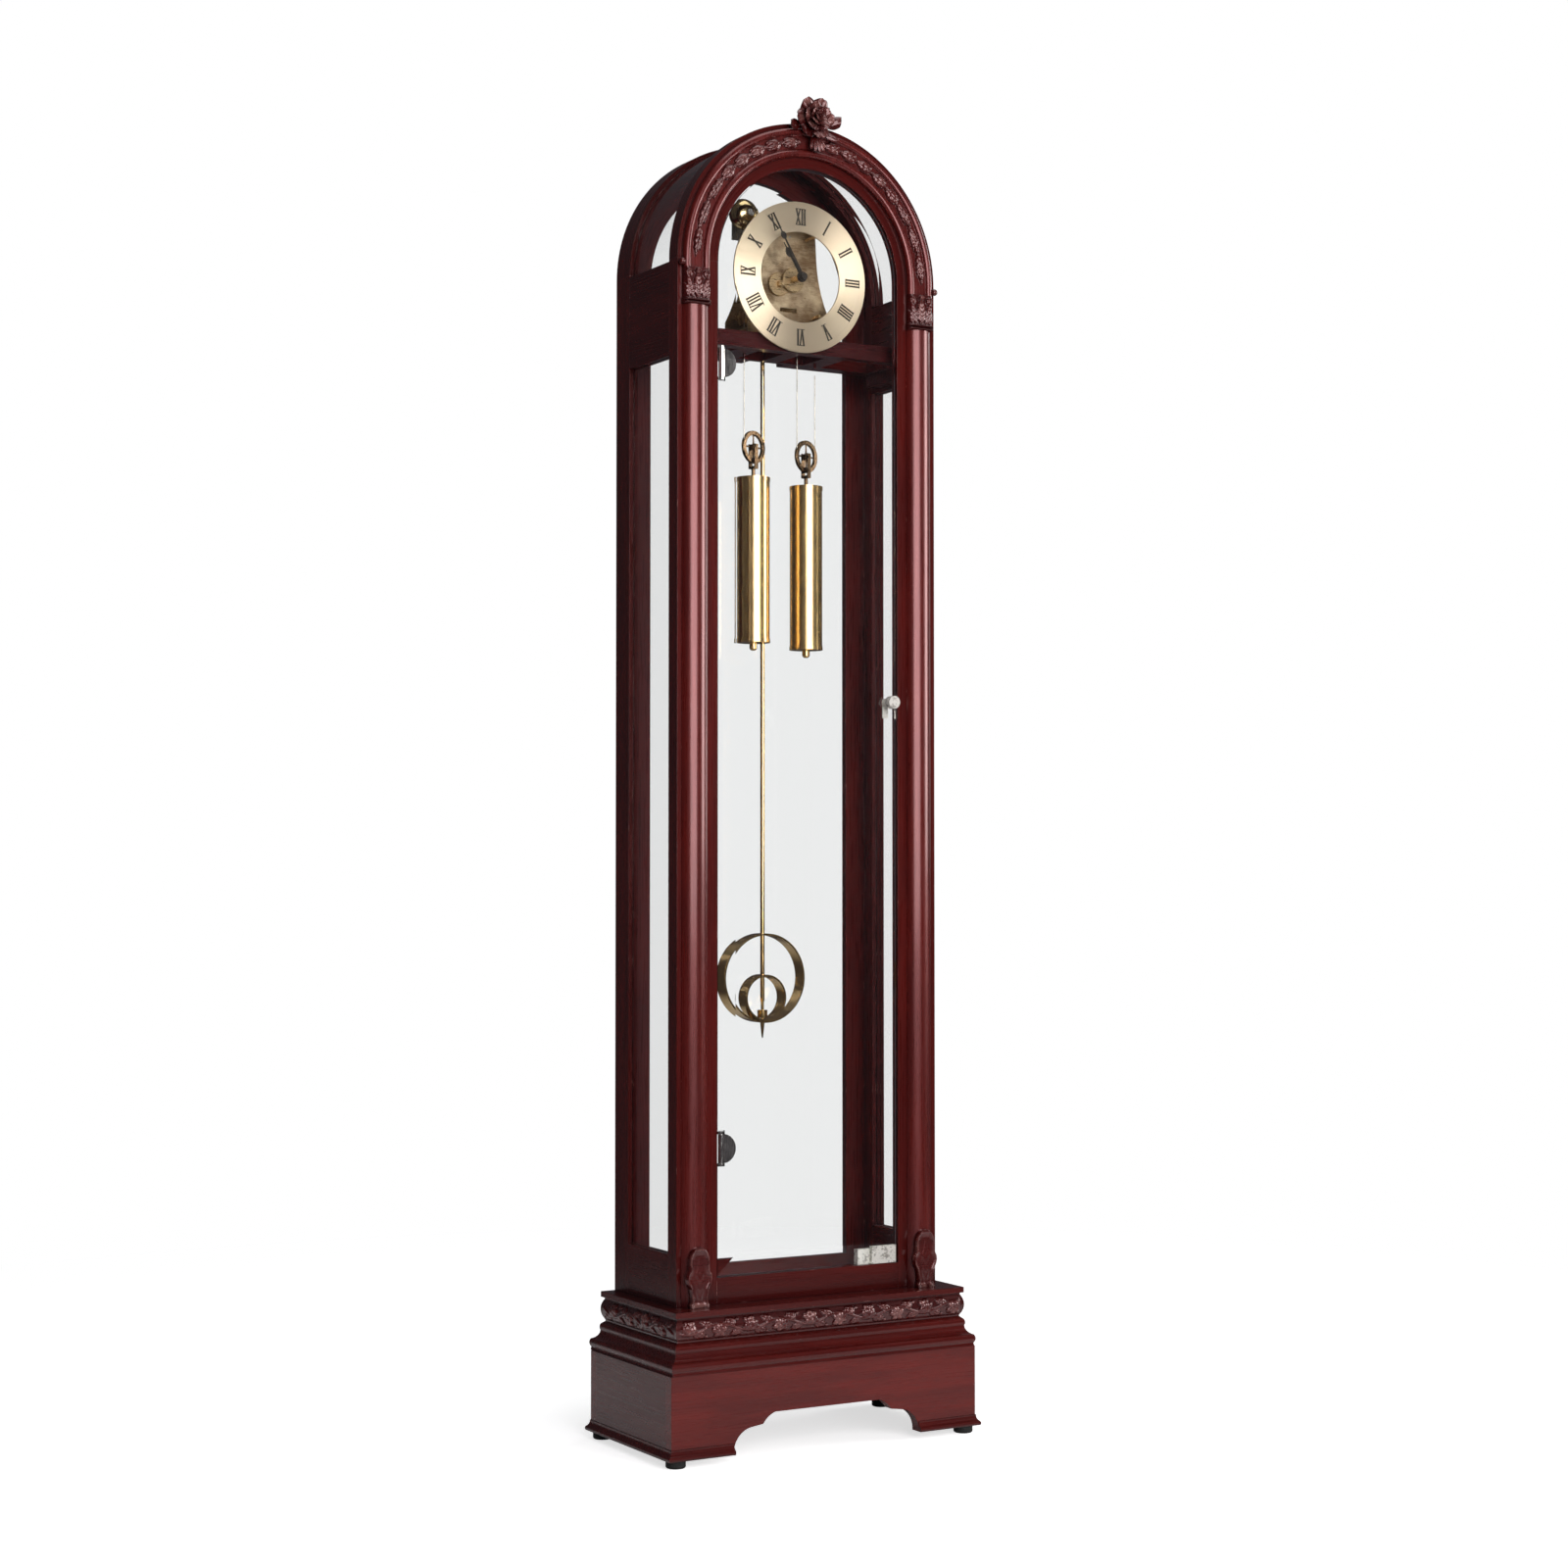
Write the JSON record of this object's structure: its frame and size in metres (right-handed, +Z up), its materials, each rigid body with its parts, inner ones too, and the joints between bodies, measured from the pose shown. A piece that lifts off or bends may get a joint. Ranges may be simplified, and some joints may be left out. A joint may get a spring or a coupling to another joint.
{
  "type": "grandfather clock",
  "caption": "Floor-standing pendulum clock with a glazed arched wooden case, a hinged glass door, a skeleton dial, cable-hung weights and a ring pendulum.",
  "frame": {"origin": "on the floor under the middle of the plinth", "axes": "+X to the right seen from the front, +Y to the back, +Z up"},
  "size_m": [0.55, 0.28, 2.071],
  "materials": {
    "mahogany": "gloss lacquer",
    "column_wood": "gloss lacquer",
    "carved_wood": "gloss lacquer over carving, worn on the high spots",
    "glass": "clear, polished",
    "brass": "polished",
    "pulley_brass": "antiqued",
    "dial_brass": "satin, pale lacquered",
    "plate_brass": "brushed",
    "bell_brass": "polished",
    "steel": "brushed",
    "chrome": "satin nickel",
    "hand_steel": "black",
    "numeral_black": "black paint",
    "cable_steel": "stranded wire",
    "glide_black": "matte"
  },
  "bodies": {
    "case": {"glides": "glide_black", "foot_mouldings": "mahogany", "plinth_front_and_back": "mahogany", "plinth_sides": "mahogany", "base_moulding": "mahogany", "carved_frieze": "carved_wood", "base_top_board": "mahogany", "front_stiles": "mahogany", "front_arch": "mahogany", "bottom_rails": "mahogany", "columns": "column_wood", "capitals": "carved_wood", "foot_ornaments": "carved_wood", "arch_moulding": "column_wood", "arch_garland": "carved_wood", "crown_rose": "carved_wood", "back_stiles": "mahogany", "back_arch": "mahogany", "side_rails": "mahogany", "side_panels": "mahogany", "side_glass": "glass", "roof_glass": "glass", "back_glass": "glass", "seat_board": "mahogany", "hinge_brackets": "chrome", "magnet_catch": "chrome", "dial_ring": "dial_brass", "dial_numerals": "numeral_black", "front_plate": "plate_brass", "back_plate": "plate_brass", "plate_pillars": "plate_brass", "rear_brackets": "steel", "bell": "bell_brass"},
    "door": {"door_glass": "glass", "hinge_clamps": "chrome", "door_strike_plate": "chrome"},
    "lock": {"door_knob": "chrome"},
    "pendulum": {"pendulum_rod": "brass", "bob_rings": "brass", "suspension_spring": "steel"},
    "rating_nut": {"rating_nut": "brass"},
    "anchor": {"anchor": "steel"},
    "minute": {"centre_wheel": "plate_brass", "minute_hand": "hand_steel"},
    "hour": {"hour_wheel": "plate_brass", "hour_hand": "hand_steel"},
    "minute_wheel": {"minute_wheel": "plate_brass"},
    "second": {"second_wheel": "plate_brass"},
    "great": {"great_wheel": "plate_brass"},
    "third": {"third_wheel": "plate_brass"},
    "escape": {"escape_wheel": "plate_brass"},
    "going_drum": {"going_drum": "plate_brass"},
    "strike_drum": {"strike_drum": "plate_brass"},
    "hammer": {"hammer": "steel"},
    "weight_left": {"weight_left": "brass", "cable_left": "cable_steel"},
    "weight_right": {"weight_right": "brass", "cable_right": "cable_steel"},
    "pulley_left": {"pulley_left": "pulley_brass"},
    "pulley_right": {"pulley_right": "pulley_brass"}
  },
  "joints": [
    {"name": "door_hinge", "type": "hinge", "parent": "case", "child": "door", "pos_m": [-0.154, -0.0765, 1.053], "axis": [0, 0, -1], "range_deg": [0, 95]},
    {"name": "knob_turn", "type": "hinge", "parent": "door", "child": "lock", "pos_m": [0.149, -0.076, 1.14], "axis": [0, -1, 0], "range_deg": [0, 90]},
    {"name": "pendulum_swing", "type": "hinge", "parent": "case", "child": "pendulum", "pos_m": [0, 0.0693, 1.86944], "axis": [0, 1, 0], "range_deg": [-3, 3]},
    {"name": "nut_turn", "type": "hinge", "parent": "pendulum", "child": "rating_nut", "pos_m": [0, 0.0693, 0.65], "axis": [0, 0, 1], "continuous": true},
    {"name": "anchor_rock", "type": "hinge", "parent": "case", "child": "anchor", "pos_m": [0, 0.033, 1.86944], "axis": [0, 1, 0], "range_deg": [-3, 3]},
    {"name": "minute_turn", "type": "hinge", "parent": "case", "child": "minute", "pos_m": [0, 0, 1.8], "axis": [0, 1, 0], "continuous": true},
    {"name": "hour_turn", "type": "hinge", "parent": "case", "child": "hour", "pos_m": [0, -0.04, 1.8], "axis": [0, 1, 0], "continuous": true},
    {"name": "minute_wheel_turn", "type": "hinge", "parent": "case", "child": "minute_wheel", "pos_m": [-0.02255, -0.025, 1.79179], "axis": [0, 1, 0], "continuous": true},
    {"name": "second_turn", "type": "hinge", "parent": "case", "child": "second", "pos_m": [0.02737, 0, 1.776], "axis": [0, 1, 0], "continuous": true},
    {"name": "great_turn", "type": "hinge", "parent": "case", "child": "great", "pos_m": [0.04349, -0.0055, 1.7455], "axis": [0, 1, 0], "continuous": true},
    {"name": "third_turn", "type": "hinge", "parent": "case", "child": "third", "pos_m": [-0.01807, 0, 1.8258], "axis": [0, 1, 0], "continuous": true},
    {"name": "escape_turn", "type": "hinge", "parent": "case", "child": "escape", "pos_m": [0, 0, 1.84944], "axis": [0, 1, 0], "continuous": true},
    {"name": "hammer_swing", "type": "hinge", "parent": "case", "child": "hammer", "pos_m": [-0.024, 0.02, 1.866], "axis": [0, 1, 0], "range_deg": [0, 15], "stiffness_Nm_per_rad": 0.03, "springref_deg": -11.46},
    {"name": "weight_left_drop", "type": "slide", "parent": "case", "child": "weight_left", "axis": [0, 0, -1], "range_m": [-0.1, 0.93], "deforming": ["cable_left"]},
    {"name": "weight_right_drop", "type": "slide", "parent": "case", "child": "weight_right", "axis": [0, 0, -1], "range_m": [-0.1, 0.93], "deforming": ["cable_right"]},
    {"name": "pulley_left_turn", "type": "hinge", "parent": "weight_left", "child": "pulley_left", "pos_m": [-0.0479, 0.0146, 1.539], "axis": [-0.3256, 0.9455, 0], "range_deg": [-268, 2449]},
    {"name": "pulley_right_turn", "type": "hinge", "parent": "weight_right", "child": "pulley_right", "pos_m": [0.0479, 0.0146, 1.5312], "axis": [-0.3256, 0.9455, 0], "range_deg": [-2449, 268]},
    {"name": "going_drum_turn", "type": "hinge", "parent": "case", "child": "going_drum", "pos_m": [0.04349, 0.02, 1.7455], "axis": [0, 1, 0], "range_deg": [-6583, 712]},
    {"name": "strike_drum_turn", "type": "hinge", "parent": "case", "child": "strike_drum", "pos_m": [-0.04349, 0.02, 1.7455], "axis": [0, 1, 0], "range_deg": [-712, 6583]}
  ],
  "couplings": [
    {"joint": "anchor_rock", "follows": "pendulum_swing", "ratio": 1},
    {"joint": "hour_turn", "follows": "minute_turn", "ratio": 0.083333},
    {"joint": "minute_wheel_turn", "follows": "minute_turn", "ratio": -0.33333},
    {"joint": "second_turn", "follows": "minute_turn", "ratio": -0.3},
    {"joint": "great_turn", "follows": "minute_turn", "ratio": 0.083333},
    {"joint": "third_turn", "follows": "minute_turn", "ratio": -8},
    {"joint": "escape_turn", "follows": "minute_turn", "ratio": 60},
    {"joint": "pulley_left_turn", "follows": "weight_left_drop", "rad_per_m": 45.872},
    {"joint": "strike_drum_turn", "follows": "weight_left_drop", "rad_per_m": 123.46},
    {"joint": "pulley_right_turn", "follows": "weight_right_drop", "rad_per_m": -45.872},
    {"joint": "going_drum_turn", "follows": "weight_right_drop", "rad_per_m": -123.46}
  ]
}
